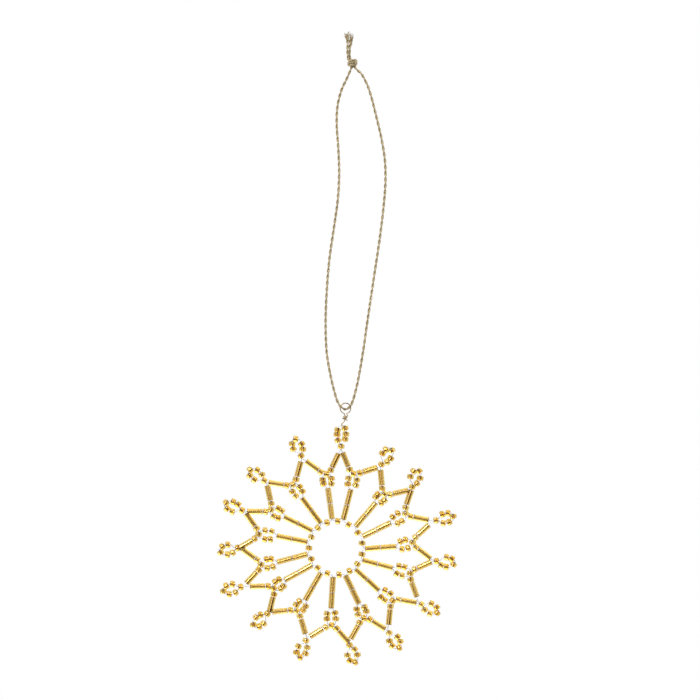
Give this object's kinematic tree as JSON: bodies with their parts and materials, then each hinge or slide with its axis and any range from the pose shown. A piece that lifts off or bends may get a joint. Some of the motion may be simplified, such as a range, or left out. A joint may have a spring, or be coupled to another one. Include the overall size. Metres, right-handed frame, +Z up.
{
  "type": "beaded snowflake ornament",
  "caption": "Flat star-like snowflake of gold glass seed and tube beads threaded on wire, with an open centre, hung by a wire ring from a knotted loop of twisted metallic cord.",
  "frame": {"origin": "hanging point, inside the top of the cord's loop, where its two strands meet under the knot", "axes": "+Z up along the hang, +X to the right across the flake, +Y away from the viewer through its thickness"},
  "size_m": [0.1034, 0.0038, 0.2734],
  "materials": {
    "gold_glass": "clear amber glass with a silvery gold lining, glossy",
    "ring_wire": "dull bare wire",
    "cord": "twisted metallic thread, satin"
  },
  "bodies": {
    "root": {"spoke_01": "gold_glass", "inner_loop_01": "gold_glass", "point_01": "gold_glass", "spoke_02": "gold_glass", "inner_loop_02": "gold_glass", "point_02": "gold_glass", "spoke_03": "gold_glass", "inner_loop_03": "gold_glass", "point_03": "gold_glass", "spoke_04": "gold_glass", "inner_loop_04": "gold_glass", "point_04": "gold_glass", "spoke_05": "gold_glass", "inner_loop_05": "gold_glass", "point_05": "gold_glass", "spoke_06": "gold_glass", "inner_loop_06": "gold_glass", "point_06": "gold_glass", "spoke_07": "gold_glass", "inner_loop_07": "gold_glass", "point_07": "gold_glass", "spoke_08": "gold_glass", "inner_loop_08": "gold_glass", "point_08": "gold_glass", "spoke_09": "gold_glass", "inner_loop_09": "gold_glass", "point_09": "gold_glass", "spoke_10": "gold_glass", "inner_loop_10": "gold_glass", "point_10": "gold_glass", "spoke_11": "gold_glass", "inner_loop_11": "gold_glass", "point_11": "gold_glass", "spoke_12": "gold_glass", "inner_loop_12": "gold_glass", "point_12": "gold_glass", "spoke_13": "gold_glass", "inner_loop_13": "gold_glass", "point_13": "gold_glass", "spoke_14": "gold_glass", "inner_loop_14": "gold_glass", "point_14": "gold_glass", "spoke_15": "gold_glass", "inner_loop_15": "gold_glass", "point_15": "gold_glass", "hanging_ring": "ring_wire", "hanging_cord": "cord", "cord_knot": "cord", "cord_tail_left": "cord", "cord_tail_right": "cord"}
  },
  "joints": []
}
